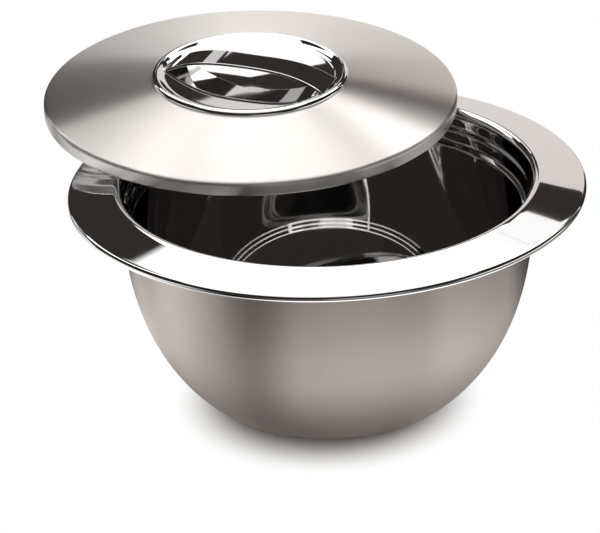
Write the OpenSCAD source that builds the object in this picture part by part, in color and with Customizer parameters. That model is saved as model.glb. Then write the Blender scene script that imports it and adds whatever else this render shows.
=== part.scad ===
// Double-walled stainless steel serving bowl with its lid, in millimetres.
// The origin is the centre of the bowl's base, +Z is up, and +Y points away from the side that is seen.
// Each pressing is one sheet: a path in the (radius, height) plane for its visible face, given a thickness
// and turned about the axis. The lid lies off centre on the back of the rounded lip.

/* [Bowl] */
// Height of the bowl, to the top of its rounded lip
bowl_h = 122; // [95:1:170]
// Inner diameter of the mouth, below the lip
mouth_d = 212; // [170:1:280]
// Radius of the rounded lip
lip_r = 4.5; // [3:0.5:7]
// Width of the flange, from the lip's crest to the outside of the rolled edge
flange_w = 24; // [14:1:40]
// Slope of the flange, down and outwards, in degrees
flange_slope = 10; // [2:1:16]
// Outer radius of the rolled edge
edge_r = 1.9; // [1.7:0.1:3]
// Diameter at which the wall's curve would meet the table, before its corner is rounded
base_d = 130; // [90:1:145]
// Fullness of the wall's curve: 2 is an ellipse, and more is squarer
belly_power = 2.37; // [2:0.01:3]

/* [Bowl walls] */
// Thickness of the inner pressing
inner_t = 0.8; // [0.6:0.1:1]
// Thickness of the outer pressing
shell_t = 0.7; // [0.5:0.1:1]
// Height of the inner floor over the table
floor_h = 9; // [6:0.5:16]
// Depth of the seat step under the lip's crest
seat_depth = 10.5; // [9:0.5:16]
// Width of the seat step
seat_w = 1.8; // [1:0.1:3]
// Height of the straight band under the seat step
band_h = 7; // [5:0.5:12]
// Width of the shoulder under the band, where the air space opens
shoulder_w = 3.2; // [2.5:0.1:5]

/* [Lid] */
// How far the lid reaches past the lip's crest when it is on
lid_overhang = 2.6; // [1:0.1:8]
// Radius of the lid's rounded edge
lid_edge_r = 2.5; // [1.5:0.1:3.5]
// Height of the lid's edge, from the bottom of its skirt to its top face
lid_skirt_h = 8; // [6:0.5:14]
// Rise of the lid's top, from its edge to the foot of the boss
lid_rise = 9.3; // [5:0.1:20]
// Thickness of the lid's top pressing
lid_t = 0.7; // [0.5:0.1:1]
// Thickness of the lid's pan
pan_t = 0.6; // [0.4:0.1:1]
// Width of the hem that is turned in under the pan
hem_w = 6; // [4:0.5:7]
// Clearance between the pan's plug and the mouth when the lid is on
plug_clear = 3; // [1.5:0.1:5]
// Depth of the plug below the skirt
plug_h = 2.4; // [2:0.1:5]
// Radius of the pan's slight crown, which lets drops run together under its middle
crown_r = 1990; // [1400:10:4000]

/* [Boss and handle] */
// Outer diameter of the polished boss
boss_d = 107.6; // [90:1:120]
// Radius of the boss's raised ring
ring_r = 2.4; // [2:0.1:3.5]
// Thickness of the boss
boss_t = 0.7; // [0.5:0.1:1]
// Depth of the dish's floor at its edge, under the ring's crest
dish_step = 2.6; // [2:0.1:4]
// Sag of the dish's floor, from its edge to its middle
dish_sag = 2; // [0.5:0.1:5]
// Width of the handle in its middle
handle_w = 17.3; // [12:0.1:24]
// Width of the handle at its ends
handle_end_w = 22.8; // [14:0.1:30]
// Thickness of the handle
handle_t = 1.5; // [1:0.1:2.5]
// Height of the handle's middle over the boss's ring
handle_rise = 6; // [4:0.1:20]
// Turn of the handle about the lid's axis, in degrees
handle_turn = -22; // [-90:1:90]

/* [Lid at rest] */
// Direction in which the lid is shifted, in degrees from +X
rest_dir = 113.6; // [60:0.1:120]
// Shift of the lid's middle, as a share of the lip's radius
rest_share = 0.88; // [0.8:0.01:0.92]
// Clearance between the lid's pan and the lip that carries it
rest_gap = 0.3; // [0.2:0.05:0.5]

/* [Hidden] */
$fn = 96;

satin = [0.70, 0.69, 0.68];
polished = [0.86, 0.86, 0.87];

// Clearance between skins that lie on each other and are welded or hemmed together
seam_gap = 0.05;
// Overrun of every cut
cut = 1;
// Points closer than this on one outline are taken as one, and slopes are measured over it
least_step = 0.02;
// Number of steps in a tight bend, a rolled edge and a long curve
bend_steps = 5;
roll_steps = 14;
curve_steps = 22;

// Lip and flange: the lip's arc ends where it is tangent to the flange's slope
mouth_r = mouth_d / 2;
lip_c = [mouth_r + lip_r, bowl_h - lip_r];
flange_n = [sin(flange_slope), cos(flange_slope)];
flange_start = lip_c + lip_r * flange_n;
edge_x = lip_c[0] + flange_w - edge_r;
edge_c = [edge_x, flange_start[1] - edge_r * flange_n[1]
          - (edge_x + edge_r * flange_n[0] - flange_start[0]) * tan(flange_slope)];
// The rolled edge turns under until this angle, measured about its centre
roll_end = -140;

// Inner pressing: seat step, band, shoulder, and the curve down to the floor
seat_z = bowl_h - seat_depth;
band_r = mouth_r - seat_w;
band_z = seat_z - band_h;
well_r = band_r - shoulder_w;
well_top = band_z - shoulder_w / 2;
step_trim = seat_w / 2;
// The inner floor's curve meets it this far inside the outer one's, and its corner starts at this height
floor_inset = 5;
floor_corner_h = 12;

// Outer pressing: both skins lie together at the neck, where it turns out under the flange
skins = inner_t + seam_gap + shell_t;
shell_r = mouth_r + skins;
neck_r = 5;
neck_x = shell_r + neck_r;
neck_z = flange_start[1] - (skins + neck_r + (neck_x - flange_start[0]) * flange_n[0]) / flange_n[1];
shell_edge_x = edge_c[0] - shell_t;
shell_edge_z = neck_z + neck_r * flange_n[1]
               - (shell_edge_x - neck_x - neck_r * flange_n[0]) * tan(flange_slope);
// Straight part of the wall under the neck, and the height at which the base's corner starts
neck_straight = 4.2;
belly_top = neck_z - neck_straight;
base_corner_h = 6;

// Lid: its own frame has z = 0 at the bottom of the skirt
lid_r = lip_c[0] + lid_overhang;
boss_r = boss_d / 2;
lid_edge_c = [lid_r - lid_edge_r, lid_skirt_h - lid_edge_r];
// The top swells over the straight line from its edge to the boss by this angle at both ends
lid_crown = 2.5;
lid_slope = atan2(lid_rise, lid_edge_c[0] - boss_r) + lid_crown;
dome_start = lid_edge_c + lid_edge_r * [sin(lid_slope), cos(lid_slope)];
dome_end = [boss_r, dome_start[1] + lid_rise];
dome_half = (dome_end - dome_start) / 2;
dome_mid = dome_start + dome_half + tan(lid_crown) * [dome_half[1], -dome_half[0]];
// Ledge on which the boss stands, and the size of the hem's corner
ledge_w = 3;
hem_trim = 2 * lid_t;

// Boss: a ring that turns in until ring_end, then a concave corner into the dish's floor
ring_c = [boss_r - ring_r, dome_end[1] + seam_gap];
ring_top = ring_c[1] + ring_r;
ring_end = 130;
ring_last = ring_c + ring_r * [cos(ring_end), sin(ring_end)];
dish_edge_z = ring_top - dish_step;
dish_corner = [ring_last[0] - (ring_last[1] - dish_edge_z) / tan(ring_end - 90), dish_edge_z];
dish_trim = ring_r;
dish_r = dish_corner[0] - dish_trim;
dish_low = dish_edge_z - dish_sag;

// Handle: an arch that ends in two short legs on the dish
arch_z = ring_top + handle_rise;
leg_x = dish_corner[0] - handle_t / 3;
leg_bend_w = 3 * handle_t;
leg_h = 1.5 * handle_t;
arch_x = leg_x - leg_bend_w;
arch_end_z = dish_edge_z + leg_h;
arch_power = 3.2;
// Power by which the strap widens from its middle towards its ends
plan_power = 1.5;

// Pan: its plug stands in from the mouth, and its underside is a slice of a large sphere
plug_r = mouth_r - plug_clear;
plug_drop = crown_r - sqrt(pow(crown_r, 2) - pow(plug_r, 2));
pan_pole_z = -plug_h - plug_drop;
plug_dip = pow(plug_r, 2) / crown_r;
plug_trim = plug_h / 2;
pan_edge = [lid_r - hem_trim - seam_gap, lid_t + seam_gap];

// Lid at rest: the crowned pan lies on the lip like a ball on a ring, so it tilts towards the bowl's axis
rest_tilt = asin(rest_share * lip_c[0] / crown_r);
ball_z = lip_c[1] + sqrt(pow(crown_r + lip_r + rest_gap, 2) - pow(lip_c[0], 2));

// Points and sheets in the (radius, height) plane
function unit(v) = v / norm(v);
function arc(c, r, from, to, steps) =
    [for (i = [0:steps]) let (a = from + (to - from) * i / steps) c + r * [cos(a), sin(a)]];
function bend(a, p, b, steps) =
    [for (i = [0:steps]) let (t = i / steps) pow(1 - t, 2) * a + 2 * t * (1 - t) * p + pow(t, 2) * b];
function corner(a, p, b, trim) = bend(p + trim * unit(a - p), p, p + trim * unit(b - p), bend_steps);
function reverse(path) = [for (i = [len(path) - 1:-1:0]) path[i]];
// One path from several, without the points that repeat where they meet
function join(paths) =
    let (all = [for (path = paths) each path])
    [for (i = [0:len(all) - 1]) if (i == 0 || norm(all[i] - all[max(i - 1, 0)]) > least_step) all[i]];

// Left-hand side of a path at one of its points, t away
function beside(path, i, t) =
    let (d = unit(path[min(i + 1, len(path) - 1)] - path[max(i - 1, 0)])) path[i] + t * [-d[1], d[0]];
// The same for a path that may start or end on the axis, which the sheet doesn't cross
function skin_beside(path, i, t) = let (p = beside(path, i, t)) path[i][0] == 0 ? [0, p[1]] : p;
function sheet(path, t) = concat(path, [for (i = [len(path) - 1:-1:0]) skin_beside(path, i, t)]);

// Wall curve: a superellipse that is upright at its top and reaches radius foot_r at height foot_z
function curve_depth(top, foot) =
    (top[1] - foot[1]) / pow(1 - pow(foot[0] / top[0], belly_power), 1 / belly_power);
function curve_at(top, foot, z) =
    [top[0] * pow(1 - pow((top[1] - z) / curve_depth(top, foot), belly_power), 1 / belly_power), z];
function curve(top, foot, from, to) =
    [for (i = [0:curve_steps]) curve_at(top, foot, from + (to - from) * i / curve_steps)];
// Corner between the curve, left at height z, and the flat floor at the foot's height
function floor_corner(top, foot, z) =
    let (p = curve_at(top, foot, z),
         q = curve_at(top, foot, z + least_step),
         x = p[0] - (z - foot[1]) * (q[0] - p[0]) / least_step,
         flat = norm([p[0] - x, z - foot[1]]))
    bend(p, [x, foot[1]], [x - flat, foot[1]], 2 * bend_steps);

inner_top = [well_r, well_top];
inner_foot = [base_d / 2 - floor_inset, floor_h];
inner_path = join([
    arc(edge_c, edge_r, roll_end, 90 - flange_slope, roll_steps),
    arc(lip_c, lip_r, 90 - flange_slope, 180, 2 * bend_steps),
    corner([mouth_r, bowl_h], [mouth_r, seat_z + step_trim], [band_r, seat_z - step_trim], step_trim),
    corner([mouth_r, seat_z + step_trim], [band_r, seat_z - step_trim], [band_r, band_z], step_trim),
    corner([band_r, seat_z], [band_r, band_z], [well_r, well_top], step_trim),
    corner([band_r, band_z], [well_r, well_top], [well_r, floor_h], step_trim),
    curve(inner_top, inner_foot, well_top - 2 * step_trim, floor_h + floor_corner_h),
    floor_corner(inner_top, inner_foot, floor_h + floor_corner_h),
    [[0, floor_h]]]);

shell_top = [shell_r, belly_top];
shell_foot = [base_d / 2, 0];
shell_path = join([
    [[0, 0]],
    reverse(floor_corner(shell_top, shell_foot, base_corner_h)),
    curve(shell_top, shell_foot, base_corner_h, belly_top),
    arc([neck_x, neck_z], neck_r, 180, 90 - flange_slope, 2 * bend_steps),
    [[shell_edge_x, shell_edge_z]]]);

lid_path = join([
    [[lid_r - hem_w, 0]],
    corner([0, 0], [lid_r, 0], [lid_r, lid_skirt_h], hem_trim),
    arc(lid_edge_c, lid_edge_r, 0, 90 - lid_slope, 2 * bend_steps),
    bend(dome_start, dome_mid, dome_end, 2 * bend_steps),
    [[boss_r - ledge_w, dome_end[1]]]]);

boss_path = join([
    arc(ring_c, ring_r, 0, ring_end, 2 * bend_steps),
    bend(ring_last, dish_corner, [dish_r, dish_edge_z], bend_steps),
    [for (i = [1:bend_steps * 2]) let (s = 1 - i / (2 * bend_steps))
        [dish_r * s, dish_low + dish_sag * pow(s, 2)]]]);

arch_half = [for (i = [0:curve_steps]) let (s = i / curve_steps)
    [arch_x * s, arch_z - (arch_z - arch_end_z) * pow(s, arch_power)]];
leg_bend = bend(arch_half[curve_steps],
                [leg_x, arch_end_z - (leg_x - arch_x) * (arch_z - arch_end_z) * arch_power / arch_x],
                [leg_x, dish_low], bend_steps);
handle_half = join([arch_half, leg_bend]);
handle_path = join([reverse(handle_half), [for (p = handle_half) [-p[0], p[1]]]]);

pan_path = join([
    [for (i = [0:2 * bend_steps]) let (a = asin((plug_r - plug_trim) / crown_r) * i / (2 * bend_steps))
        [crown_r * sin(a), pan_pole_z + crown_r * (1 - cos(a))]],
    corner([0, -plug_h - plug_dip], [plug_r, -plug_h], [plug_r, pan_edge[1]], plug_trim),
    corner([plug_r, -plug_h], [plug_r, pan_edge[1]], pan_edge, plug_trim),
    [pan_edge]]);

// Puts a piece of the lid where the lid lies
module at_rest() {
    translate([0, 0, ball_z])
        rotate([0, 0, rest_dir])
            rotate([0, -rest_tilt, 0])
                rotate([0, 0, -rest_dir])
                    translate([0, 0, -crown_r - pan_pole_z])
                        children();
}

module inner_bowl() {
    color(polished)
        rotate_extrude()
            polygon(sheet(inner_path, inner_t));
}

module outer_shell() {
    color(satin)
        rotate_extrude()
            polygon(sheet(shell_path, shell_t));
}

module lid_top() {
    color(satin)
        at_rest()
            rotate_extrude()
                polygon(sheet(lid_path, lid_t));
}

module lid_boss() {
    color(polished)
        at_rest()
            rotate_extrude()
                polygon(sheet(boss_path, boss_t));
}

// Everything under the boss's visible face, raised by the seam's gap, to seat the handle on it
module under_boss() {
    raised = [for (i = [0:len(boss_path) - 1]) skin_beside(boss_path, i, -seam_gap)];
    rotate_extrude()
        polygon(concat(reverse(raised), [[boss_r + cut, 0], [0, 0]]));
}

// The strap seen from above: a little narrower in its middle
module handle_plan() {
    reach = leg_x + handle_t;
    side = [for (i = [-bend_steps:bend_steps]) let (s = i / bend_steps)
        [reach * s, (handle_w + (handle_end_w - handle_w) * pow(abs(s), plan_power)) / 2]];
    polygon(concat(side, [for (p = reverse(side)) [p[0], -p[1]]]));
}

module lid_handle() {
    color(polished)
        at_rest()
            difference() {
                rotate([0, 0, handle_turn])
                    intersection() {
                        rotate([90, 0, 0])
                            linear_extrude(height = handle_end_w + cut, center = true)
                                polygon(sheet(handle_path, handle_t));
                        linear_extrude(height = arch_z + cut)
                            handle_plan();
                    }
                under_boss();
            }
}

module lid_pan() {
    color(polished)
        at_rest()
            rotate_extrude()
                polygon(sheet(pan_path, pan_t));
}

inner_bowl();
outer_shell();
lid_top();
lid_boss();
lid_handle();
lid_pan();
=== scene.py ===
"""A double-walled stainless steel bowl with its lid laid off centre on the rim, and the studio around them.

Every pressing is one sheet of steel: a path in the (radius, height) plane for its visible face, given a
thickness and turned about the axis by one Geometry Nodes tree. Lengths are in metres, in the CAD model's
frame.
"""

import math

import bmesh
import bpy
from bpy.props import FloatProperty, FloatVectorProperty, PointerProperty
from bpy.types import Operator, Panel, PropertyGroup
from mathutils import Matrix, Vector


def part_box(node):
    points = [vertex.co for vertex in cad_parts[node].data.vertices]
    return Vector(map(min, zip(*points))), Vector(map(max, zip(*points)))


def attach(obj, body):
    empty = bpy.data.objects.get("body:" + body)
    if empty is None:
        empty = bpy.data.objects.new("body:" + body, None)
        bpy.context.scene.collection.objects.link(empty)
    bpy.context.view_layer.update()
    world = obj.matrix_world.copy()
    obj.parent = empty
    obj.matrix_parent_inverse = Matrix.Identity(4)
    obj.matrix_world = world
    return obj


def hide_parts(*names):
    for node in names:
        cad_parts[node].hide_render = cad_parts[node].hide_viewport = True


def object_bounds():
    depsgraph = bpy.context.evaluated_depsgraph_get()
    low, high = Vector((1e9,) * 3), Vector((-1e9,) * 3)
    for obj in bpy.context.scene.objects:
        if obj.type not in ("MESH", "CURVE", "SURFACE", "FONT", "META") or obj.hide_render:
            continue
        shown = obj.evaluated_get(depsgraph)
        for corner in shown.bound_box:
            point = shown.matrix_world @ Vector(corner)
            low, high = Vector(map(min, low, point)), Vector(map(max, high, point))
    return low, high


bl_info = {
    "name": "Insulated Steel Bowl",
    "version": (1, 0, 0),
    "blender": (4, 5, 0),
    "location": "View3D > Sidebar > Steel Bowl",
    "description": "Builds a double-walled stainless steel bowl, its lid and a photo studio around them",
    "category": "Add Mesh",
}

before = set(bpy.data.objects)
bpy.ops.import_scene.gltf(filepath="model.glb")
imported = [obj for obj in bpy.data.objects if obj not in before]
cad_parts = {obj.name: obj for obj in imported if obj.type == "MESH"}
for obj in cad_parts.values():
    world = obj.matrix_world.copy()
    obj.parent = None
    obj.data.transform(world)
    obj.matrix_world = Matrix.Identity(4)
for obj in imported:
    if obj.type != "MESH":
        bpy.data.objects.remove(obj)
cad_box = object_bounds()

MM = 0.001
# Clearance between skins that lie on each other, as in the CAD model
SEAM_GAP = 0.05 * MM
# Points closer than this on one outline are taken as one
LEAST_STEP = 0.02 * MM
# Longest step on a straight stretch, so that shading stays true beside a tight bend
LONGEST_STEP = 2 * MM
# Steps in a tight bend, a rolled edge, a long curve and once round the axis
BEND_STEPS = 8
ROLL_STEPS = 20
CURVE_STEPS = 56
TURN_STEPS = 256
# Steps along each side of a studio card, so that one on a dome is smooth
CARD_STEPS = 24
# Faces that meet at more than this angle are the cut edge of a sheet, and stay sharp
SHARP_ANGLE = math.radians(50)
# Spacing and length of the brushed scratches, coarser than the real grit so that they show
SCRATCH_GAP = 0.35 * MM
SCRATCH_LENGTH = 60 * MM
# How far the floor lies under the base, so that the two faces never share a plane
FLOOR_DROP = 0.2 * MM


def length(name, description, default):
    """A property for a length in metres."""
    return FloatProperty(name=name, description=description, default=default, min=0, precision=5,
                         unit="LENGTH")


def angle(name, description, degrees):
    """A property for an angle, given in degrees and kept in radians."""
    return FloatProperty(name=name, description=description, default=math.radians(degrees), subtype="ANGLE")


def colour(name, description, default):
    """A property for an sRGB colour, written as hex and kept as linear values."""
    return FloatVectorProperty(name=name, description=description, default=linear(default), size=3,
                               min=0, max=1, subtype="COLOR")


def linear(code):
    """Linear RGB from an sRGB hex code."""
    shares = [int(code[i:i + 2], 16) / 255 for i in (1, 3, 5)]
    return [s / 12.92 if s <= 0.04045 else ((s + 0.055) / 1.055) ** 2.4 for s in shares]


class BowlSizes(PropertyGroup):
    """Sizes of the bowl's two pressings."""
    height: length("Height", "Height of the bowl, to the top of its rounded lip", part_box("inner_bowl")[1].z)
    mouth_d: length("Mouth", "Inner diameter of the mouth, below the lip", 212 * MM)
    lip_r: length("Lip radius", "Radius of the rounded lip", 4.5 * MM)
    rim_r: length("Rim radius", "Radius of the flange's outer edge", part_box("inner_bowl")[1].x)
    flange_slope: angle("Flange slope", "Slope of the flange, down and outwards", 10)
    edge_r: length("Rolled edge", "Outer radius of the rolled edge", 1.9 * MM)
    base_d: length("Base", "Diameter at which the wall's curve would meet the table", 130 * MM)
    belly_power: FloatProperty(name="Fullness", default=2.37, min=2, max=3,
                               description="Fullness of the wall: 2 is an ellipse, more is squarer")
    inner_t: length("Inner sheet", "Thickness of the inner pressing", 0.8 * MM)
    shell_t: length("Outer sheet", "Thickness of the outer pressing", 0.7 * MM)
    floor_h: length("Floor", "Height of the inner floor over the table", 9 * MM)
    seat_depth: length("Seat depth", "Depth of the seat step under the lip's crest", 10.5 * MM)
    seat_w: length("Seat width", "Width of the seat step", 1.8 * MM)
    band_h: length("Band", "Height of the straight band under the seat step", 7 * MM)
    shoulder_w: length("Shoulder", "Width of the shoulder under the band", 3.2 * MM)
    floor_inset: length("Floor inset", "How far the inner floor's curve stands in from the outer's", 5 * MM)
    floor_corner_h: length("Floor corner", "Height of the corner between inner wall and floor", 12 * MM)
    base_corner_h: length("Base corner", "Height of the corner between outer wall and base", 6 * MM)
    neck_r: length("Neck radius", "Radius where the outer wall turns out under the flange", 5 * MM)
    neck_straight: length("Neck height", "Straight part of the wall under the neck", 4.2 * MM)


class LidSizes(PropertyGroup):
    """Sizes of the lid's top, boss and pan, and where the lid lies."""
    overhang: length("Overhang", "How far the lid reaches past the lip's crest when it is on", 2.6 * MM)
    edge_r: length("Edge radius", "Radius of the lid's rounded edge", 2.5 * MM)
    skirt_h: length("Skirt", "Height of the lid's edge", 8 * MM)
    rise: length("Rise", "Rise of the top, from its edge to the foot of the boss", 9.3 * MM)
    crown: angle("Crown", "Angle by which the top swells over a straight cone", 2.5)
    top_t: length("Top sheet", "Thickness of the lid's top", 0.7 * MM)
    pan_t: length("Pan sheet", "Thickness of the lid's pan", 0.6 * MM)
    hem_w: length("Hem", "Width of the hem turned in under the pan", 6 * MM)
    ledge_w: length("Ledge", "Width of the ledge under the boss", 3 * MM)
    plug_clear: length("Plug clearance", "Clearance between the pan's plug and the mouth", 3 * MM)
    plug_h: length("Plug depth", "Depth of the plug below the skirt", 2.4 * MM)
    crown_r: length("Pan crown", "Radius of the pan's slight crown", 1990 * MM)
    boss_d: length("Boss", "Outer diameter of the polished boss", 107.6 * MM)
    ring_r: length("Ring radius", "Radius of the boss's raised ring", 2.4 * MM)
    boss_t: length("Boss sheet", "Thickness of the boss", 0.7 * MM)
    dish_step: length("Dish step", "Depth of the dish's edge under the ring's crest", 2.6 * MM)
    dish_sag: length("Dish sag", "Sag of the dish, from its edge to its middle", 2 * MM)
    dish_power: FloatProperty(name="Dish power", default=1.35, min=1, max=4,
                              description="2 is a bowl-shaped dish, and less is more conical")
    rest_dir: angle("Rest direction", "Direction in which the lid is shifted, from +X", 113.6)
    rest_share: FloatProperty(name="Rest share", default=0.88, min=0, max=1, subtype="FACTOR",
                              description="Shift of the lid, as a share of the lip's radius")
    rest_gap: length("Rest gap", "Clearance between the pan and the lip that carries it", 0.3 * MM)


class HandleSizes(PropertyGroup):
    """Sizes of the strap handle on the lid."""
    width: length("Width", "Width of the strap in its middle", 17.3 * MM)
    end_w: length("End width", "Width of the strap at its ends", 22.8 * MM)
    thickness: length("Thickness", "Thickness of the strap", 1.5 * MM)
    rise: length("Rise", "Height of the strap's middle over the boss's ring", 5.85 * MM)
    edge_r: length("Edge radius", "Radius to which the strap's edges are broken", 0.4 * MM)
    arch_power: FloatProperty(name="Arch", default=3.2, min=2, max=6,
                              description="2 is an evenly curved arch, and more is flatter in its middle")
    plan_power: FloatProperty(name="Widening", default=1.5, min=1, max=4,
                              description="Power by which the strap widens from its middle to its ends")
    turn: angle("Turn", "Turn of the strap about the lid's axis", -22)
    lean: angle("Lean", "How far the strap leans back in its middle", 0.8)
    end_lean: angle("End lean", "How far the strap leans back at its ends", 2.6)


class SteelFinishes(PropertyGroup):
    """Colours of the steel's finishes."""
    polished: colour("Polished", "Mirror-polished stainless steel", "#E3E2E2")
    satin: colour("Satin", "Outer wall, brushed round the bowl", "#CBC2BC")
    brushed: colour("Brushed", "Lid's top, brushed in circles", "#DAD6D2")
    drawn: colour("Drawn", "Bright drawn sheet of the lid's pan", "#D5D4D3")


class StudioSettings(PropertyGroup):
    """The photo studio."""
    paper: colour("Paper", "Colour of the paper on the floor", "#F7F6F5")
    backdrop: colour("Backdrop", "Colour of the backdrop that the steel mirrors", "#D3CECB")
    flag: colour("Flag", "Colour of the dark flags that the steel mirrors", "#2E2B29")
    lens: FloatProperty(name="Lens", default=155.769,
                        description="Focal length on a 36 mm sensor, in millimetres")
    distance: length("Distance", "Distance of the camera, measured along its view", 1350 * MM)
    elevation: angle("Elevation", "How far the camera looks down", 25.976)
    roll: angle("Roll", "Roll of the camera", -2.242)


# Points and outlines in the (radius, height) plane

def arc(centre, radius, start, end, steps):
    """Points of an arc from one angle to another, in degrees."""
    angles = [math.radians(start + (end - start) * i / steps) for i in range(steps + 1)]
    return [centre + radius * Vector((math.cos(a), math.sin(a))) for a in angles]


def bend(a, middle, b, steps):
    """A quadratic curve from a to b, drawn towards middle."""
    shares = [i / steps for i in range(steps + 1)]
    return [a * (1 - t) ** 2 + middle * (2 * t * (1 - t)) + b * t ** 2 for t in shares]


def corner(a, p, b, trim):
    """The corner at p between the lines to a and b, rounded from trim away."""
    return bend(p + trim * (a - p).normalized(), p, p + trim * (b - p).normalized(), BEND_STEPS)


def join(*paths):
    """One path from several, without repeated points, and with steps no longer than the longest one."""
    path = []
    for point in (p for part in paths for p in part):
        gap = (point - path[-1]).length if path else 0
        if path and gap <= LEAST_STEP:
            continue
        steps = max(1, math.ceil(gap / LONGEST_STEP))
        path += [path[-1].lerp(point, i / steps) for i in range(1, steps)]
        path.append(point)
    return path


def beside(path, i, distance):
    """The point on the left of a path's point i. A point on the axis keeps to it."""
    ahead = (path[min(i + 1, len(path) - 1)] - path[max(i - 1, 0)]).normalized()
    point = path[i] + distance * Vector((-ahead.y, ahead.x))
    return Vector((0, point.y)) if path[i].x == 0 else point


def sheet(path, thickness):
    """The outline of a sheet with its visible face on path. It starts and ends on the axis if the path
    reaches it, and is closed if it doesn't."""
    back = [beside(path, i, thickness) for i in range(len(path))]
    if path[-1].x == 0:
        return path[::-1] + back
    return path + back[::-1] + ([] if path[0].x == 0 else path[:1])


def wall_point(top, foot, power, z):
    """A point at height z on a superellipse that is upright at top and passes through foot."""
    depth = (top.y - foot.y) / (1 - (foot.x / top.x) ** power) ** (1 / power)
    return Vector((top.x * (1 - ((top.y - z) / depth) ** power) ** (1 / power), z))


def wall(top, foot, power, start, end):
    """The wall's curve from one height to another."""
    heights = [start + (end - start) * i / CURVE_STEPS for i in range(CURVE_STEPS + 1)]
    return [wall_point(top, foot, power, z) for z in heights]


def floor_corner(top, foot, power, z):
    """The corner between the wall, left at height z, and the flat floor at the foot's height."""
    p = wall_point(top, foot, power, z)
    q = wall_point(top, foot, power, z + LEAST_STEP)
    meet = Vector((p.x - (z - foot.y) * (q.x - p.x) / LEAST_STEP, foot.y))
    flat = (p - meet).length
    return bend(p, meet, meet - Vector((flat, 0)), 2 * BEND_STEPS)


class Rim:
    """Where the lip, the flange and its rolled edge lie, worked out from the bowl's sizes."""

    def __init__(self, s):
        self.slope = math.degrees(s.flange_slope)
        self.mouth_r = s.mouth_d / 2
        self.lip = Vector((self.mouth_r + s.lip_r, s.height - s.lip_r))
        self.up = Vector((math.sin(s.flange_slope), math.cos(s.flange_slope)))
        self.flange = self.lip + s.lip_r * self.up
        edge_x = s.rim_r - s.edge_r
        edge_top = self.flange.y - (edge_x + s.edge_r * self.up.x - self.flange.x) * math.tan(s.flange_slope)
        self.edge = Vector((edge_x, edge_top - s.edge_r * self.up.y))


def inner_path(s):
    """The inner pressing's visible face: rolled edge, flange, lip, seat step, band, wall and floor."""
    rim = Rim(s)
    seat_z = s.height - s.seat_depth
    band_r = rim.mouth_r - s.seat_w
    band_z = seat_z - s.band_h
    trim = s.seat_w / 2
    well = Vector((band_r - s.shoulder_w, band_z - s.shoulder_w / 2))
    foot = Vector((s.base_d / 2 - s.floor_inset, s.floor_h))
    step_top, step_low = Vector((rim.mouth_r, seat_z + trim)), Vector((band_r, seat_z - trim))
    band_foot = Vector((band_r, band_z))
    corner_z = s.floor_h + s.floor_corner_h
    # The rolled edge turns under until this angle, measured about its centre
    roll_end = -140
    return join(
        arc(rim.edge, s.edge_r, roll_end, 90 - rim.slope, ROLL_STEPS),
        arc(rim.lip, s.lip_r, 90 - rim.slope, 180, 2 * BEND_STEPS),
        corner(Vector((rim.mouth_r, s.height)), step_top, step_low, trim),
        corner(step_top, step_low, band_foot, trim),
        corner(Vector((band_r, seat_z)), band_foot, well, trim),
        corner(band_foot, well, Vector((well.x, s.floor_h)), trim),
        wall(well, foot, s.belly_power, well.y - 2 * trim, corner_z),
        floor_corner(well, foot, s.belly_power, corner_z),
        [Vector((0, s.floor_h))])


def shell_path(s):
    """The outer pressing's visible face: base, wall, neck and the stretch under the flange."""
    rim = Rim(s)
    skins = s.inner_t + SEAM_GAP + s.shell_t
    shell_r = rim.mouth_r + skins
    neck_x = shell_r + s.neck_r
    fall = (neck_x - rim.flange.x) * rim.up.x
    neck = Vector((neck_x, rim.flange.y - (skins + s.neck_r + fall) / rim.up.y))
    end_x = rim.edge.x - s.shell_t
    end_z = neck.y + s.neck_r * rim.up.y - (end_x - neck_x - s.neck_r * rim.up.x) * math.tan(s.flange_slope)
    top = Vector((shell_r, neck.y - s.neck_straight))
    foot = Vector((s.base_d / 2, 0))
    return join(
        [Vector((0, 0))],
        floor_corner(top, foot, s.belly_power, s.base_corner_h)[::-1],
        wall(top, foot, s.belly_power, s.base_corner_h, top.y),
        arc(neck, s.neck_r, 180, 90 - rim.slope, 2 * BEND_STEPS),
        [Vector((end_x, end_z))])


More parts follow.
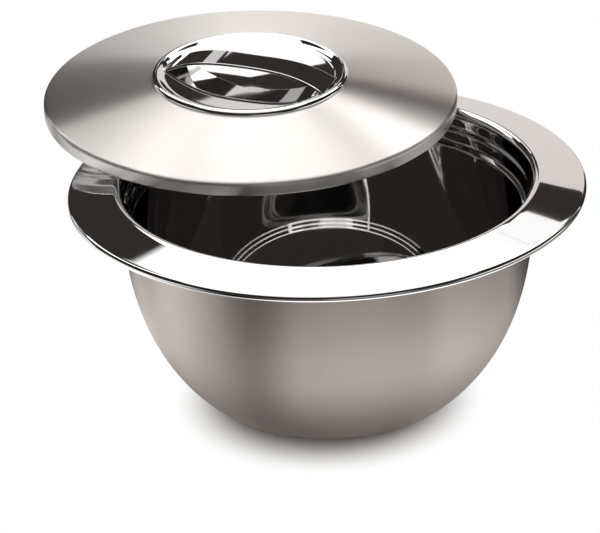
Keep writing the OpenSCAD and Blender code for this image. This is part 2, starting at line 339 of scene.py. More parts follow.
class LidForm:
    """Where the lid's edge, dome, boss and dish lie, in the lid's own frame: z is 0 under its skirt."""

    def __init__(self, bowl, s):
        self.r = bowl.mouth_d / 2 + bowl.lip_r + s.overhang
        self.boss_r = s.boss_d / 2
        self.edge = Vector((self.r - s.edge_r, s.skirt_h - s.edge_r))
        slope = math.atan2(s.rise, self.edge.x - self.boss_r) + s.crown
        self.slope = math.degrees(slope)
        self.dome_start = self.edge + s.edge_r * Vector((math.sin(slope), math.cos(slope)))
        self.dome_end = Vector((self.boss_r, self.dome_start.y + s.rise))
        half = (self.dome_end - self.dome_start) / 2
        self.dome_mid = self.dome_start + half + math.tan(s.crown) * Vector((half.y, -half.x))
        self.ring = Vector((self.boss_r - s.ring_r, self.dome_end.y + SEAM_GAP))
        self.ring_top = self.ring.y + s.ring_r
        # The ring turns in until this angle, where the dish's corner starts
        self.ring_end = 130
        end = math.radians(self.ring_end)
        self.ring_last = self.ring + s.ring_r * Vector((math.cos(end), math.sin(end)))
        self.dish_z = self.ring_top - s.dish_step
        drop = (self.ring_last.y - self.dish_z) / math.tan(end - math.pi / 2)
        self.dish_corner = Vector((self.ring_last.x - drop, self.dish_z))
        self.dish_r = self.dish_corner.x - s.ring_r
        self.plug_r = bowl.mouth_d / 2 - s.plug_clear
        plug_drop = s.crown_r - math.sqrt(s.crown_r ** 2 - self.plug_r ** 2)
        self.pan_pole_z = -s.plug_h - plug_drop
        self.lip = Rim(bowl).lip

    def at_rest(self, bowl, s):
        """The lid's place at rest: its crowned pan lies on the lip like a ball on a ring, so it tilts in."""
        tilt = math.asin(s.rest_share * self.lip.x / s.crown_r)
        reach = s.crown_r + bowl.lip_r + s.rest_gap
        ball_z = self.lip.y + math.sqrt(reach ** 2 - self.lip.x ** 2)
        return (Matrix.Translation((0, 0, ball_z))
                @ Matrix.Rotation(s.rest_dir, 4, "Z")
                @ Matrix.Rotation(-tilt, 4, "Y")
                @ Matrix.Rotation(-s.rest_dir, 4, "Z")
                @ Matrix.Translation((0, 0, -s.crown_r - self.pan_pole_z)))


def lid_path(form, s):
    """The lid top's visible face: hem, skirt, rounded edge, dome and the ledge under the boss."""
    hem_trim = 2 * s.top_t
    return join(
        [Vector((form.r - s.hem_w, 0))],
        corner(Vector((0, 0)), Vector((form.r, 0)), Vector((form.r, s.skirt_h)), hem_trim),
        arc(form.edge, s.edge_r, 0, 90 - form.slope, 2 * BEND_STEPS),
        bend(form.dome_start, form.dome_mid, form.dome_end, 2 * BEND_STEPS),
        [Vector((form.boss_r - s.ledge_w, form.dome_end.y))])


def boss_path(form, s):
    """The boss's visible face: the raised ring, a concave corner and the shallow dish."""
    shares = [1 - i / (2 * BEND_STEPS) for i in range(1, 2 * BEND_STEPS + 1)]
    low = form.dish_z - s.dish_sag
    return join(
        arc(form.ring, s.ring_r, 0, form.ring_end, 2 * BEND_STEPS),
        bend(form.ring_last, form.dish_corner, Vector((form.dish_r, form.dish_z)), 2 * BEND_STEPS),
        [Vector((form.dish_r * t, low + s.dish_sag * t ** s.dish_power)) for t in shares])


def pan_path(form, s):
    """The pan's visible face: a slice of a large sphere, and the plug's wall up to the hem."""
    trim = s.plug_h / 2
    last = math.asin((form.plug_r - trim) / s.crown_r)
    angles = [last * i / (2 * BEND_STEPS) for i in range(2 * BEND_STEPS + 1)]
    dip = form.plug_r ** 2 / s.crown_r
    foot = Vector((form.plug_r, -s.plug_h))
    edge = Vector((form.r - 2 * s.top_t - SEAM_GAP, s.top_t + SEAM_GAP))
    top = Vector((form.plug_r, edge.y))
    return join(
        [Vector((s.crown_r * math.sin(a), form.pan_pole_z + s.crown_r * (1 - math.cos(a)))) for a in angles],
        corner(Vector((0, -s.plug_h - dip)), foot, top, trim),
        corner(foot, top, edge, trim),
        [edge])


def height_on(path, radius):
    """Height of a path at a radius, between its points."""
    for a, b in zip(path, path[1:]):
        if min(a.x, b.x) <= radius <= max(a.x, b.x):
            return a.y + (b.y - a.y) * (radius - a.x) / (b.x - a.x)
    raise ValueError(f"the path doesn't reach radius {radius}")


def handle_path(form, lid, s):
    """The strap's upper face along its length, from one foot to the other, as (distance, height)."""
    t = s.thickness
    top = form.ring_top + s.rise
    # The legs stand just inside the dish's corner. Each is bent over three times the strap's thickness, and
    # the arch ends one and a half times it above the dish.
    leg_x = form.dish_corner.x - t / 3
    arch_x = leg_x - 3 * t
    end_z = form.dish_z + 1.5 * t
    half = [Vector((arch_x * i / CURVE_STEPS, top - (top - end_z) * (i / CURVE_STEPS) ** s.arch_power))
            for i in range(CURVE_STEPS + 1)]
    knee = Vector((leg_x, end_z - (leg_x - arch_x) * (top - end_z) * s.arch_power / arch_x))
    foot = Vector((leg_x, form.dish_z - lid.dish_sag))
    half = join(half, bend(half[-1], knee, foot, 2 * BEND_STEPS))
    return [Vector((-p.x, p.y)) for p in half[:0:-1]] + half


def add_node(tree, kind, settings=None, inputs=None):
    """Adds a node with its settings, and gives its inputs a value or a link each."""
    node = tree.nodes.new(kind)
    for name, value in (settings or {}).items():
        setattr(node, name, value)
    for key, value in (inputs or {}).items():
        if isinstance(value, bpy.types.NodeSocket):
            tree.links.new(value, node.inputs[key])
        else:
            node.inputs[key].default_value = value
    return node


# Meshes

def lathe_tree():
    """The tree that turns a profile about the Z axis. Its UV map has U along the profile and V round it."""
    tree = bpy.data.node_groups.new("Lathe", "GeometryNodeTree")
    for name, kind in (("Profile", "NodeSocketObject"), ("Steps", "NodeSocketInt"),
                       ("Seam", "NodeSocketFloat"), ("Steel", "NodeSocketMaterial")):
        tree.interface.new_socket(name, in_out="INPUT", socket_type=kind)
    tree.interface.new_socket("Geometry", in_out="OUTPUT", socket_type="NodeSocketGeometry")
    given = add_node(tree, "NodeGroupInput").outputs
    profile = add_node(tree, "GeometryNodeObjectInfo", None,
                       {"Object": given["Profile"]}).outputs["Geometry"]
    count = add_node(tree, "GeometryNodeAttributeDomainSize", {"component": "MESH"},
                     {"Geometry": profile}).outputs["Point Count"]
    columns = add_node(tree, "ShaderNodeMath", {"operation": "ADD"}, {0: given["Steps"], 1: 1.0}).outputs[0]
    grid = add_node(tree, "GeometryNodeMeshGrid", None, {"Vertices X": columns, "Vertices Y": count}).outputs
    index = add_node(tree, "GeometryNodeInputIndex").outputs[0]
    row = add_node(tree, "ShaderNodeMath", {"operation": "FLOORED_MODULO"}, {0: index, 1: count}).outputs[0]
    first = add_node(tree, "ShaderNodeMath", {"operation": "SUBTRACT"}, {0: index, 1: row}).outputs[0]
    column = add_node(tree, "ShaderNodeMath", {"operation": "DIVIDE"}, {0: first, 1: count}).outputs[0]
    turn = add_node(tree, "ShaderNodeMath", {"operation": "DIVIDE"},
                    {0: column, 1: given["Steps"]}).outputs[0]
    spin = add_node(tree, "ShaderNodeMath", {"operation": "MULTIPLY"}, {0: turn, 1: math.tau}).outputs[0]
    position = add_node(tree, "GeometryNodeInputPosition").outputs[0]
    point = add_node(tree, "GeometryNodeSampleIndex", {"data_type": "FLOAT_VECTOR"},
                     {"Geometry": profile, "Value": position, "Index": row}).outputs[0]
    turned = add_node(tree, "ShaderNodeVectorRotate", {"rotation_type": "Z_AXIS"},
                      {"Vector": point, "Angle": spin}).outputs[0]
    placed = add_node(tree, "GeometryNodeSetPosition", None,
                      {"Geometry": grid["Mesh"], "Position": turned}).outputs[0]
    flat = add_node(tree, "ShaderNodeSeparateXYZ", None, {0: grid["UV Map"]}).outputs
    uv = add_node(tree, "ShaderNodeCombineXYZ", None, {"X": flat["Y"], "Y": flat["X"]}).outputs[0]
    mapped = add_node(tree, "GeometryNodeStoreNamedAttribute", {"data_type": "FLOAT2", "domain": "CORNER"},
                      {"Geometry": placed, "Name": "UVMap", "Value": uv}).outputs[0]
    closed = add_node(tree, "GeometryNodeMergeByDistance", None,
                      {"Geometry": mapped, "Distance": given["Seam"]}).outputs[0]
    real = add_node(tree, "GeometryNodeRealizeInstances", None, {"Geometry": closed}).outputs[0]
    steel = add_node(tree, "GeometryNodeSetMaterial", None,
                     {"Geometry": real, "Material": given["Steel"]}).outputs[0]
    add_node(tree, "NodeGroupOutput", None, {"Geometry": steel})
    return tree


def new_object(name, data):
    """An object for a mesh, a lamp or a camera, linked to the scene."""
    made = bpy.data.objects.new(name, data)
    bpy.context.scene.collection.objects.link(made)
    return made


def turned_mesh(name, path, thickness, material):
    """A plain mesh: the sheet with its visible face on path, turned about the Z axis by the lathe tree."""
    outline = sheet(path, thickness)
    lines = bpy.data.meshes.new(f"{name}_profile")
    lines.from_pydata([(p.x, 0, p.y) for p in outline], [(i, i + 1) for i in range(len(outline) - 1)], [])
    profile = new_object(f"{name}_profile", lines)
    blank = new_object(f"{name}_blank", bpy.data.meshes.new(f"{name}_blank"))
    tree = bpy.data.node_groups.get("Lathe") or lathe_tree()
    lathe = blank.modifiers.new("Lathe", "NODES")
    lathe.node_group = tree
    values = {"Profile": profile, "Steps": TURN_STEPS, "Seam": LEAST_STEP / 10, "Steel": material}
    for item in tree.interface.items_tree:
        if item.in_out == "INPUT":
            lathe[item.identifier] = values[item.name]
    done = blank.evaluated_get(bpy.context.evaluated_depsgraph_get())
    mesh = bpy.data.meshes.new_from_object(done)
    blank.modifiers.remove(lathe)
    bpy.data.objects.remove(blank)
    bpy.data.objects.remove(profile)
    mesh.name = name
    return mesh


def finish_piece(mesh, place, body, slot, *nodes):
    """Puts a mesh in its place, gives it smooth faces and sharp cut edges, and ties it to the frame."""
    mesh.transform(place)
    work = bmesh.new()
    work.from_mesh(mesh)
    bmesh.ops.recalc_face_normals(work, faces=work.faces)
    for face in work.faces:
        face.smooth = True
    for edge in work.edges:
        edge.smooth = edge.calc_face_angle(0) < SHARP_ANGLE
    work.to_mesh(mesh)
    work.free()
    piece = new_object(mesh.name, mesh)
    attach(piece, body)
    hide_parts(*nodes)
    return piece


def strap_mesh(name, path, width_at, lean_at, thickness, edge_r, foot_at, material):
    """A strap that follows path with its upper face, and leans back by the angle lean_at gives. Its cut ends
    follow the height foot_at gives by radius."""
    section = []
    for turn, y_sign, z_share in ((0, 1, 0), (-90, 1, 1), (-180, -1, 1), (-270, -1, 0)):
        centre = Vector((-y_sign * edge_r, (2 * z_share - 1) * edge_r - z_share * thickness))
        bent = arc(centre, edge_r, 90 + turn, turn, BEND_STEPS // 2)
        # A point on the flat before and after each edge keeps the flats' shading flat
        ahead = Vector((math.cos(math.radians(turn)), math.sin(math.radians(turn))))
        onward = Vector((ahead.y, -ahead.x))
        bent = [bent[0] - edge_r / 2 * ahead, *bent, bent[-1] + edge_r / 2 * onward]
        section += [(y_sign, p) for p in bent]
    count = len(section)
    vertices = []
    for i, p in enumerate(path):
        ahead = (path[min(i + 1, len(path) - 1)] - path[max(i - 1, 0)]).normalized()
        up = Vector((-ahead.y, ahead.x))
        half, fall = width_at(p.x) / 2, math.tan(lean_at(p.x))
        for y_sign, point in section:
            y = y_sign * half + point.x
            q = p + up * (point.y - fall * y)
            z = foot_at(math.hypot(q.x, y)) if i in (0, len(path) - 1) else q.y
            vertices.append((q.x, y, z))
    faces = []
    for i in range(len(path) - 1):
        for j in range(count):
            here, there, onward = i * count, (i + 1) * count, (j + 1) % count
            faces.append((here + j, here + onward, there + onward, there + j))
    last = (len(path) - 1) * count
    faces += [tuple(range(count)), tuple(reversed(range(last, last + count)))]
    mesh = bpy.data.meshes.new(name)
    mesh.from_pydata(vertices, [], faces)
    mesh.materials.append(material)
    return mesh


# Materials

def new_material(name):
    """An empty node material, and its node tree."""
    material = bpy.data.materials.new(name)
    material.use_nodes = True
    material.node_tree.nodes.clear()
    return material, material.node_tree


def mirror_polished_stainless(tint):
    """18/10 stainless steel, buffed on a wheel: a clear mirror with a faint waviness from the drawing."""
    material, tree = new_material("mirror_polished_stainless")
    place = add_node(tree, "ShaderNodeTexCoord").outputs["Object"]
    # Waves of about 12 mm, a few micrometres high, and buffing haze in patches of about 30 mm
    wave = add_node(tree, "ShaderNodeTexNoise", None,
                    {"Vector": place, "Scale": 1 / (12 * MM), "Detail": 1.0}).outputs[0]
    bump = add_node(tree, "ShaderNodeBump", None,
                    {"Height": wave, "Distance": 0.004 * MM, "Strength": 1.0}).outputs[0]
    haze = add_node(tree, "ShaderNodeTexNoise", None,
                    {"Vector": place, "Scale": 1 / (30 * MM), "Detail": 3.0}).outputs[0]
    rough = add_node(tree, "ShaderNodeMapRange", None,
                     {"Value": haze, "From Min": 0.3, "From Max": 0.7,
                      "To Min": 0.015, "To Max": 0.05}).outputs[0]
    steel = add_node(tree, "ShaderNodeBsdfPrincipled", None,
                     {"Base Color": (*tint, 1), "Metallic": 1.0, "Roughness": rough,
                      "Normal": bump}).outputs[0]
    add_node(tree, "ShaderNodeOutputMaterial", None, {"Surface": steel})
    return material


def brushed_stainless(name, tint, place, roughness, anisotropy):
    """Stainless steel brushed with a belt while it turns: fine rings round the axis, which stretch every
    reflection across themselves. place is the turned piece's own frame."""
    material, tree = new_material(name)
    where = add_node(tree, "ShaderNodeTexCoord").outputs["Object"]
    local = add_node(tree, "ShaderNodeMapping", {"vector_type": "TEXTURE"},
                     {"Vector": where, "Location": place.to_translation(),
                      "Rotation": place.to_euler()}).outputs[0]
    axes = add_node(tree, "ShaderNodeSeparateXYZ", None, {0: local}).outputs
    flat = add_node(tree, "ShaderNodeVectorMath", {"operation": "MULTIPLY"},
                    {0: local, 1: (1, 1, 0)}).outputs[0]
    radius = add_node(tree, "ShaderNodeVectorMath", {"operation": "LENGTH"}, {0: flat}).outputs["Value"]
    along = add_node(tree, "ShaderNodeMath", {"operation": "ADD"}, {0: radius, 1: axes["Z"]}).outputs[0]
    # Noise that changes fast from ring to ring and slowly along each one
    ring = add_node(tree, "ShaderNodeMath", {"operation": "MULTIPLY"},
                    {0: along, 1: 1 / SCRATCH_GAP}).outputs[0]
    round_x = add_node(tree, "ShaderNodeMath", {"operation": "MULTIPLY"},
                       {0: axes["X"], 1: 1 / SCRATCH_LENGTH}).outputs[0]
    round_y = add_node(tree, "ShaderNodeMath", {"operation": "MULTIPLY"},
                       {0: axes["Y"], 1: 1 / SCRATCH_LENGTH}).outputs[0]
    lines = add_node(tree, "ShaderNodeCombineXYZ", None, {"X": round_x, "Y": round_y, "Z": ring}).outputs[0]
    grain = add_node(tree, "ShaderNodeTexNoise", None,
                     {"Vector": lines, "Scale": 1.0, "Detail": 4.0, "Roughness": 0.6}).outputs[0]
    shade = add_node(tree, "ShaderNodeMapRange", None,
                     {"Value": grain, "From Min": 0.25, "From Max": 0.75,
                      "To Min": 0.975, "To Max": 1.02}).outputs[0]
    tone = add_node(tree, "ShaderNodeVectorMath", {"operation": "SCALE"},
                    {0: tint, "Scale": shade}).outputs[0]
    rough = add_node(tree, "ShaderNodeMapRange", None,
                     {"Value": grain, "From Min": 0.25, "From Max": 0.75,
                      "To Min": roughness * 0.93, "To Max": roughness * 1.07}).outputs[0]
    bump = add_node(tree, "ShaderNodeBump", None,
                    {"Height": grain, "Distance": 0.001 * MM, "Strength": 1.0}).outputs[0]
    tangent = add_node(tree, "ShaderNodeTangent", {"direction_type": "UV_MAP", "uv_map": "UVMap"}).outputs[0]
    steel = add_node(tree, "ShaderNodeBsdfPrincipled", None,
                     {"Base Color": tone, "Metallic": 1.0, "Roughness": rough, "Anisotropic": anisotropy,
                      "Normal": bump, "Tangent": tangent}).outputs[0]
    add_node(tree, "ShaderNodeOutputMaterial", None, {"Surface": steel})
    return material


def polished_steel():
    """The one mirror-polished steel of the bowl's inside, the boss and the handle."""
    made = bpy.data.materials.get("mirror_polished_stainless")
    return made or mirror_polished_stainless(bpy.context.scene.steel_finishes.polished)


def lid_place():
    """The lid's form and its place at rest."""
    scene = bpy.context.scene
    form = LidForm(scene.bowl_sizes, scene.lid_sizes)
    return form, form.at_rest(scene.bowl_sizes, scene.lid_sizes)


# The pieces, with one operator each

class BOWL_OT_inner_bowl(Operator):
    """Make the mirror-polished inner pressing with its lip, flange and rolled edge"""
    bl_idname = "bowl.inner_bowl"
    bl_label = "Inner Bowl"

    def execute(self, context):
        s = context.scene.bowl_sizes
        mesh = turned_mesh("bowl_inner", inner_path(s), s.inner_t, polished_steel())
        finish_piece(mesh, Matrix(), "bowl", "polished_steel", "inner_bowl")
        return {"FINISHED"}


class BOWL_OT_outer_shell(Operator):
    """Make the satin outer pressing with its flat base"""
    bl_idname = "bowl.outer_shell"
    bl_label = "Outer Shell"

    def execute(self, context):
        s = context.scene.bowl_sizes
        satin = brushed_stainless("satin_brushed_stainless", context.scene.steel_finishes.satin, Matrix(),
                                  roughness=0.4, anisotropy=1.0)
        mesh = turned_mesh("bowl_shell", shell_path(s), s.shell_t, satin)
        finish_piece(mesh, Matrix(), "bowl", "satin_steel", "outer_shell")
        return {"FINISHED"}


class BOWL_OT_lid_top(Operator):
    """Make the lid's brushed top with its rounded edge, skirt and hem"""
    bl_idname = "bowl.lid_top"
    bl_label = "Lid Top"

    def execute(self, context):
        s = context.scene.lid_sizes
        form, place = lid_place()
        brushed = brushed_stainless("circle_brushed_stainless", context.scene.steel_finishes.brushed, place,
                                    roughness=0.3, anisotropy=0.98)
        mesh = turned_mesh("lid_dome", lid_path(form, s), s.top_t, brushed)
        finish_piece(mesh, place, "lid", "brushed_lid_steel", "lid_top")
        return {"FINISHED"}


class BOWL_OT_lid_boss(Operator):
    """Make the lid's polished centre, a raised ring with a shallow dish"""
    bl_idname = "bowl.lid_boss"
    bl_label = "Lid Boss"

    def execute(self, context):
        s = context.scene.lid_sizes
        form, place = lid_place()
        mesh = turned_mesh("lid_centre", boss_path(form, s), s.boss_t, polished_steel())
        finish_piece(mesh, place, "lid", "polished_steel", "lid_boss")
        return {"FINISHED"}


class BOWL_OT_lid_handle(Operator):
    """Make the polished strap that arches over the dish"""
    bl_idname = "bowl.lid_handle"
    bl_label = "Lid Handle"

    def execute(self, context):
        s = context.scene.handle_sizes
        lid = context.scene.lid_sizes
        form, place = lid_place()
        path = handle_path(form, lid, s)
        reach = path[-1].x + s.thickness
        dish = boss_path(form, lid)
        mesh = strap_mesh(
            "lid_strap", path,
            lambda x: s.width + (s.end_w - s.width) * abs(x / reach) ** s.plan_power,
            lambda x: s.lean + (s.end_lean - s.lean) * (x / reach) ** 2,
            s.thickness, s.edge_r, lambda r: height_on(dish, r) + SEAM_GAP, polished_steel())
        finish_piece(mesh, place @ Matrix.Rotation(s.turn, 4, "Z"), "lid", "polished_steel", "lid_handle")
        return {"FINISHED"}


class BOWL_OT_lid_pan(Operator):
    """Make the lid's lower skin, which plugs the mouth when the lid is on"""
    bl_idname = "bowl.lid_pan"
    bl_label = "Lid Pan"

    def execute(self, context):
        s = context.scene.lid_sizes
        form, place = lid_place()
        drawn = brushed_stainless("bright_drawn_stainless", context.scene.steel_finishes.drawn, place,
                                  roughness=0.16, anisotropy=0.4)
        mesh = turned_mesh("lid_underside", pan_path(form, s), s.pan_t, drawn)
        finish_piece(mesh, place, "lid", "lid_pan_steel", "lid_pan")
        return {"FINISHED"}


# The studio

def studio_card(name, place, glow, soft=0.0):
    """A card, a softbox or a flag that only the steel sees. place gives its points from two shares, 0 to 1,
    and glow adds the emission node to its tree. soft is the share of the card over which each edge fades."""
    row = CARD_STEPS + 1
    vertices = [place(i / CARD_STEPS, j / CARD_STEPS) for i in range(row) for j in range(row)]
    faces = []
    for i in range(CARD_STEPS):
        for j in range(CARD_STEPS):
            first = i * row + j
            faces.append((first, first + row, first + row + 1, first + 1))
    mesh = bpy.data.meshes.new(name)
    mesh.from_pydata(vertices, [], faces)
    material, tree = new_material(f"{name}_card")
    surface = glow(tree)
    if soft:
        shares = mesh.uv_layers.new(name="UVMap").uv
        for loop in mesh.loops:
            shares[loop.index].vector = [step / CARD_STEPS for step in divmod(loop.vertex_index, row)]
        across = add_node(tree, "ShaderNodeSeparateXYZ", None,
                          {0: add_node(tree, "ShaderNodeTexCoord").outputs["UV"]}).outputs
        kept = []
        for axis in ("X", "Y"):
            far = add_node(tree, "ShaderNodeMath", {"operation": "SUBTRACT"},
                           {0: 1.0, 1: across[axis]}).outputs[0]
            near = add_node(tree, "ShaderNodeMath", {"operation": "MINIMUM"},
                            {0: across[axis], 1: far}).outputs[0]
            kept.append(add_node(tree, "ShaderNodeMapRange", {"interpolation_type": "SMOOTHSTEP"},
                                 {"Value": near, "From Max": soft}).outputs[0])
        share = add_node(tree, "ShaderNodeMath", {"operation": "MULTIPLY"},
                         {0: kept[0], 1: kept[1]}).outputs[0]
        clear = add_node(tree, "ShaderNodeBsdfTransparent").outputs[0]
        surface = add_node(tree, "ShaderNodeMixShader", None, {0: share, 1: clear, 2: surface}).outputs[0]
    add_node(tree, "ShaderNodeOutputMaterial", None, {"Surface": surface})
    mesh.materials.append(material)
    card = new_object(name, mesh)
    card.visible_camera = False
    card.visible_diffuse = False
    card.visible_shadow = False
    return card


def even(shade, strength):
    """The glow of an even card."""
    def glow(tree):
        return add_node(tree, "ShaderNodeEmission", None,
                        {"Color": (*shade, 1), "Strength": strength}).outputs[0]
    return glow


def floor_glow(rows, rings):
    """The glow of the lit floor round the bowl. Each row has an azimuth in degrees, from 0 to 360, and the
    strength there close to the bowl, in the ring round it and far out. rings has the radii at which one gives
    way to the next."""
    most = max(max(row[1:]) for row in rows)

    def glow(tree):
        place = add_node(tree, "ShaderNodeTexCoord").outputs["Object"]
        axes = add_node(tree, "ShaderNodeSeparateXYZ", None, {0: place}).outputs
        flat = add_node(tree, "ShaderNodeVectorMath", {"operation": "MULTIPLY"},
                        {0: place, 1: (1, 1, 0)}).outputs[0]
        radius = add_node(tree, "ShaderNodeVectorMath", {"operation": "LENGTH"}, {0: flat}).outputs["Value"]
        bearing = add_node(tree, "ShaderNodeMath", {"operation": "ARCTAN2"},
                           {0: axes["X"], 1: axes["Y"]}).outputs[0]
        share = add_node(tree, "ShaderNodeMath", {"operation": "DIVIDE"},
                         {0: bearing, 1: math.tau}).outputs[0]
        share = add_node(tree, "ShaderNodeMath", {"operation": "FLOORED_MODULO"},
                         {0: share, 1: 1.0}).outputs[0]
        ramp = add_node(tree, "ShaderNodeValToRGB", None, {"Fac": share})
        stops = ramp.color_ramp.elements
        ramp.color_ramp.interpolation = "EASE"
        for row in rows[2:]:
            stops.new(row[0] / 360)
        for stop, (azimuth, *strengths) in zip(stops, rows):
            stop.position = azimuth / 360
            stop.color = (*(value / most for value in strengths), 1)
        bands = add_node(tree, "ShaderNodeSeparateColor", None, {0: ramp.outputs["Color"]}).outputs
        level = bands[0]
        for (start, end), band in zip(rings, (bands[1], bands[2])):
            into = add_node(tree, "ShaderNodeMapRange", {"interpolation_type": "SMOOTHSTEP"},
                            {"Value": radius, "From Min": start, "From Max": end}).outputs[0]
            level = add_node(tree, "ShaderNodeMix", None, {"Factor": into, 2: level, 3: band}).outputs[0]
        strength = add_node(tree, "ShaderNodeMath", {"operation": "MULTIPLY"},
                            {0: level, 1: most}).outputs[0]
        return add_node(tree, "ShaderNodeEmission", None, {"Strength": strength}).outputs[0]
    return glow


def flat_card(start, across, along):
    """A flat card with a corner at start, and the sides across and along from there."""
    return lambda u, v: Vector(start) + u * Vector(across) + v * Vector(along)


def upright(y, x, z):
    """A flat card across the view at y, from x[0] to x[1] and from z[0] to z[1]."""
    return flat_card((x[0], y, z[0]), (x[1] - x[0], 0, 0), (0, 0, z[1] - z[0]))


def dome(radius, azimuth, elevation):
    """A card on a dome. Azimuth 0 is behind the bowl and 90 on its right, and both ranges are in degrees."""
    def point(u, v):
        a = math.radians(azimuth[0] + (azimuth[1] - azimuth[0]) * u)
        e = math.radians(elevation[0] + (elevation[1] - elevation[0]) * v)
        return radius * Vector((math.sin(a) * math.cos(e), math.cos(a) * math.cos(e), math.sin(e)))
    return point


def floor_wedge(z, azimuth, radius):
    """A card that lies on the floor, as a wedge of a ring round the bowl."""
    def point(u, v):
        a = math.radians(azimuth[0] + (azimuth[1] - azimuth[0]) * u)
        r = radius[0] + (radius[1] - radius[0]) * v
        return Vector((r * math.sin(a), r * math.cos(a), z))
    return point


class BOWL_OT_studio(Operator):
    """Set up the paper floor, the soft light, the cards that the steel mirrors and the camera"""
    bl_idname = "bowl.studio"
    bl_label = "Studio"

    def execute(self, context):
        scene = context.scene
        s = scene.studio_settings
        self.floor(s)
        self.cards(s)
        self.world(scene)
        self.lamps()
        self.camera(scene, s)
        scene.view_settings.view_transform = "Standard"
        return {"FINISHED"}

    def floor(self, s):
        z = cad_box[0].z - FLOOR_DROP
        # The camera sees the shadow round the base, which fades into paper as white as the background
        shadow_middle = (-3 * MM, -16 * MM, z)
        shadow_r, white_r = 50 * MM, 84 * MM
        paper, tree = new_material("seamless_paper")
        matt = add_node(tree, "ShaderNodeBsdfDiffuse", None, {"Color": (*s.paper, 1)}).outputs[0]
        place = add_node(tree, "ShaderNodeTexCoord").outputs["Object"]
        radius = add_node(tree, "ShaderNodeVectorMath", {"operation": "DISTANCE"},
                          {0: place, 1: shadow_middle}).outputs["Value"]
        past = add_node(tree, "ShaderNodeMapRange", {"interpolation_type": "SMOOTHSTEP"},
                        {"Value": radius, "From Min": shadow_r, "From Max": white_r}).outputs[0]
        seen = add_node(tree, "ShaderNodeLightPath").outputs["Is Camera Ray"]
        share = add_node(tree, "ShaderNodeMath", {"operation": "MULTIPLY"}, {0: past, 1: seen}).outputs[0]
        white = add_node(tree, "ShaderNodeEmission", None, {"Color": (1, 1, 1, 1)}).outputs[0]
        surface = add_node(tree, "ShaderNodeMixShader", None, {0: share, 1: matt, 2: white}).outputs[0]
        add_node(tree, "ShaderNodeOutputMaterial", None, {"Surface": surface})
        far = 4.0
        corners = [(-far, -far, z), (far, -far, z), (far, far, z), (-far, far, z)]
        mesh = bpy.data.meshes.new("floor")
        mesh.from_pydata(corners, [], [(0, 1, 2, 3)])
        mesh.materials.append(paper)
        new_object("floor", mesh)

    def cards(self, s):
        white = (1, 1, 1)
        # Each card's name, place, colour, strength, and the share over which its edges fade
        cards = (
            # Softboxes behind and above the bowl, with the bright ceiling over it
            ("softbox", upright(1.0, (-0.44, 1.2), (0.94, 2.0)), white, 1.4, 0.04),
            ("softbox_middle", upright(0.995, (-0.16, 0.18), (0.92, 1.2)), white, 4.5, 0.2),
            ("softbox_low", upright(1.0, (-0.33, -0.01), (0.77, 1.02)), white, 2.9, 0),
            ("softbox_drop", upright(0.998, (-0.13, -0.005), (0.635, 0.8)), white, 1.3, 0),
            ("softbox_low_middle", upright(1.0, (-0.01, 0.36), (0.86, 1.02)), white, 3.4, 0),
            ("softbox_right", upright(1.0, (0.36, 0.62), (0.785, 1.02)), white, 1.25, 0),
            ("softbox_far_right", upright(0.99, (0.42, 0.84), (0.96, 1.5)), white, 4.6, 0.15),
            ("softbox_left", upright(1.0, (-1.2, -0.6), (0.85, 2.0)), white, 2.5, 0),
            ("softbox_top_left", upright(1.0, (-0.6, -0.33), (1.3, 2.0)), white, 2.7, 0),
            ("ceiling", flat_card((-1.2, -0.4, 2.0), (2.4, 0, 0), (0, 1.4, 0)), white, 1.5, 0),
            # The backdrop below them, a dark flag behind it and a strip of light at its left edge
            ("backdrop", upright(1.0, (-0.09, 0.6), (0.0, 0.53)), s.backdrop, 1.3, 0),
            ("backdrop_top", upright(1.0, (0.12, 0.6), (0.53, 0.6)), s.backdrop, 1.3, 0),
            ("flag_back", upright(1.01, (-0.95, 1.2), (0.0, 1.3)), s.flag, 1.3, 0),
            ("light_strip", flat_card((-0.033, 0.99, 0.2), (-0.07, 0, 0), (-0.09, 0, 0.4)), white, 0.7, 0),
            # Light low round the bowl, which its wall mirrors
            ("horizon_right", dome(1.6, (60, 132), (-2, 13)), white, 1.55, 0.2),
            ("horizon_front", dome(1.6, (144, 186), (-2, 12)), white, 0.6, 0.25),
            ("horizon_left", dome(1.6, (228, 290), (-2, 13)), white, 0.95, 0.25),
            ("floor_left", floor_wedge(0.004, (308, 342), (0.28, 0.6)), white, 1.0, 0.25),
            ("side_left", dome(1.6, (-70, -42), (-2, 12)), white, 0.85, 0.2),
            # Dark flags at the left, at the right and round the camera
            ("flag_left", dome(1.7, (-140, -48), (-3, 60)), s.flag, 0.8, 0),
            ("flag_camera", dome(1.7, (52, 222), (-3, 60)), s.flag, 1.0, 0),
        )
        for name, place, shade, strength, soft in cards:
            studio_card(name, place, even(shade, strength), soft)
        # The floor's azimuths in degrees, with three strengths for each
        floor = ((0, 0.4, 0.5, 0.3), (50, 0.3, 0.1, 0), (85, 0.5, 1.0, 0.3), (130, 0.3, 1.9, 0.2),
                 (190, 0.2, 1.9, 0.2), (215, 0.2, 0.9, 0), (265, 0.3, 1.4, 1.4), (290, 0.6, 1.2, 1.0),
                 (315, 0.5, 0.6, 0.1), (360, 0.4, 0.5, 0.3))
        studio_card("floor_light", floor_wedge(0.003, (0, 360), (0.08, 1.5)),
                    floor_glow(floor, ((0.115, 0.14), (0.19, 0.23))))

    def world(self, scene):
        scene.world = bpy.data.worlds.new("studio")
        scene.world.use_nodes = True
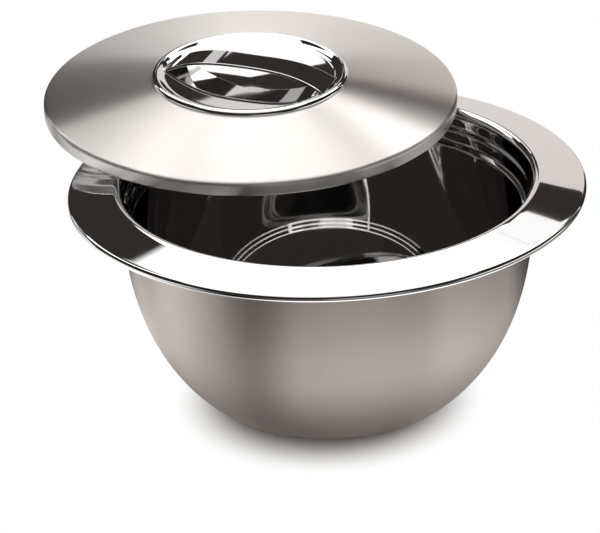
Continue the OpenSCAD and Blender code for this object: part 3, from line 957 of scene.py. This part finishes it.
        # The room lights matt surfaces less than it shows to the camera and to the steel
        matt_share = 0.55
        tree = scene.world.node_tree
        tree.nodes.clear()
        path = add_node(tree, "ShaderNodeLightPath").outputs
        seen = add_node(tree, "ShaderNodeMath", {"operation": "ADD"},
                        {0: path["Is Camera Ray"], 1: path["Is Glossy Ray"]}).outputs[0]
        seen = add_node(tree, "ShaderNodeMath", {"operation": "ADD", "use_clamp": True},
                        {0: seen, 1: path["Is Transmission Ray"]}).outputs[0]
        strength = add_node(tree, "ShaderNodeMapRange", None,
                            {"Value": seen, "To Min": matt_share, "To Max": 1.0}).outputs[0]
        glow = add_node(tree, "ShaderNodeBackground", None,
                        {"Color": (1, 1, 1, 1), "Strength": strength}).outputs[0]
        add_node(tree, "ShaderNodeOutputWorld", None, {"Surface": glow})

    def lamps(self):
        light = bpy.data.lights.new("overhead_softbox", "AREA")
        light.shape = "RECTANGLE"
        light.size, light.size_y = 1.6, 1.2
        light.energy = 14
        lamp = new_object("overhead_softbox", light)
        lamp.location = (0.1, 0.9, 1.5)
        lamp.rotation_euler = (-lamp.location).to_track_quat("-Z", "Y").to_euler()
        lamp.visible_glossy = False

    def camera(self, scene, s):
        """Stands where the photograph was taken: the rolled edge's centre is at one pixel of its frame."""
        frame_w, frame_h = 600, 533
        aim_pixel = Vector((326.384, 183.918))
        sensor_w = 36
        rim = Rim(scene.bowl_sizes)
        ahead = Vector((0, math.cos(s.elevation), -math.sin(s.elevation)))
        up = Vector((0, math.sin(s.elevation), math.cos(s.elevation)))
        turn = Matrix.Rotation(-s.roll, 3, ahead)
        right, up = turn @ Vector((1, 0, 0)), turn @ up
        per_pixel = s.distance * sensor_w / s.lens / frame_w
        aside = (aim_pixel.x - frame_w / 2) * per_pixel
        above = (frame_h / 2 - aim_pixel.y) * per_pixel
        data = bpy.data.cameras.new("camera")
        data.lens = s.lens
        data.sensor_width = sensor_w
        data.sensor_fit = "HORIZONTAL"
        data.clip_end = 20
        camera = new_object("camera", data)
        place = Matrix((right, up, -ahead)).transposed().to_4x4()
        place.translation = Vector((0, 0, rim.edge.y)) - aside * right - above * up - s.distance * ahead
        camera.matrix_world = place
        scene.camera = camera


PIECES = (BOWL_OT_inner_bowl, BOWL_OT_outer_shell, BOWL_OT_lid_top, BOWL_OT_lid_boss,
          BOWL_OT_lid_handle, BOWL_OT_lid_pan, BOWL_OT_studio)


class BOWL_PT_panel(Panel):
    """Lists the pieces and their sizes"""
    bl_idname = "BOWL_PT_panel"
    bl_label = "Steel Bowl"
    bl_space_type = "VIEW_3D"
    bl_region_type = "UI"
    bl_category = "Steel Bowl"

    def draw(self, context):
        for piece in PIECES:
            self.layout.operator(piece.bl_idname)
        for name in GROUPS:
            group = getattr(context.scene, name)
            box = self.layout.box()
            box.label(text=name.replace("_", " ").capitalize())
            for key in group.bl_rna.properties.keys():
                if key not in ("rna_type", "name"):
                    box.prop(group, key)


GROUPS = {"bowl_sizes": BowlSizes, "lid_sizes": LidSizes, "handle_sizes": HandleSizes,
          "steel_finishes": SteelFinishes, "studio_settings": StudioSettings}
CLASSES = (*GROUPS.values(), *PIECES, BOWL_PT_panel)


def register():
    for kind in CLASSES:
        bpy.utils.register_class(kind)
    for name, kind in GROUPS.items():
        setattr(bpy.types.Scene, name, PointerProperty(type=kind))


def unregister():
    for name in GROUPS:
        delattr(bpy.types.Scene, name)
    for kind in reversed(CLASSES):
        bpy.utils.unregister_class(kind)


def main():
    register()
    bpy.ops.bowl.inner_bowl()
    bpy.ops.bowl.outer_shell()
    bpy.ops.bowl.lid_top()
    bpy.ops.bowl.lid_boss()
    bpy.ops.bowl.lid_handle()
    bpy.ops.bowl.lid_pan()
    bpy.ops.bowl.studio()
    bpy.context.view_layer.update()


if __name__ == "__main__":
    main()
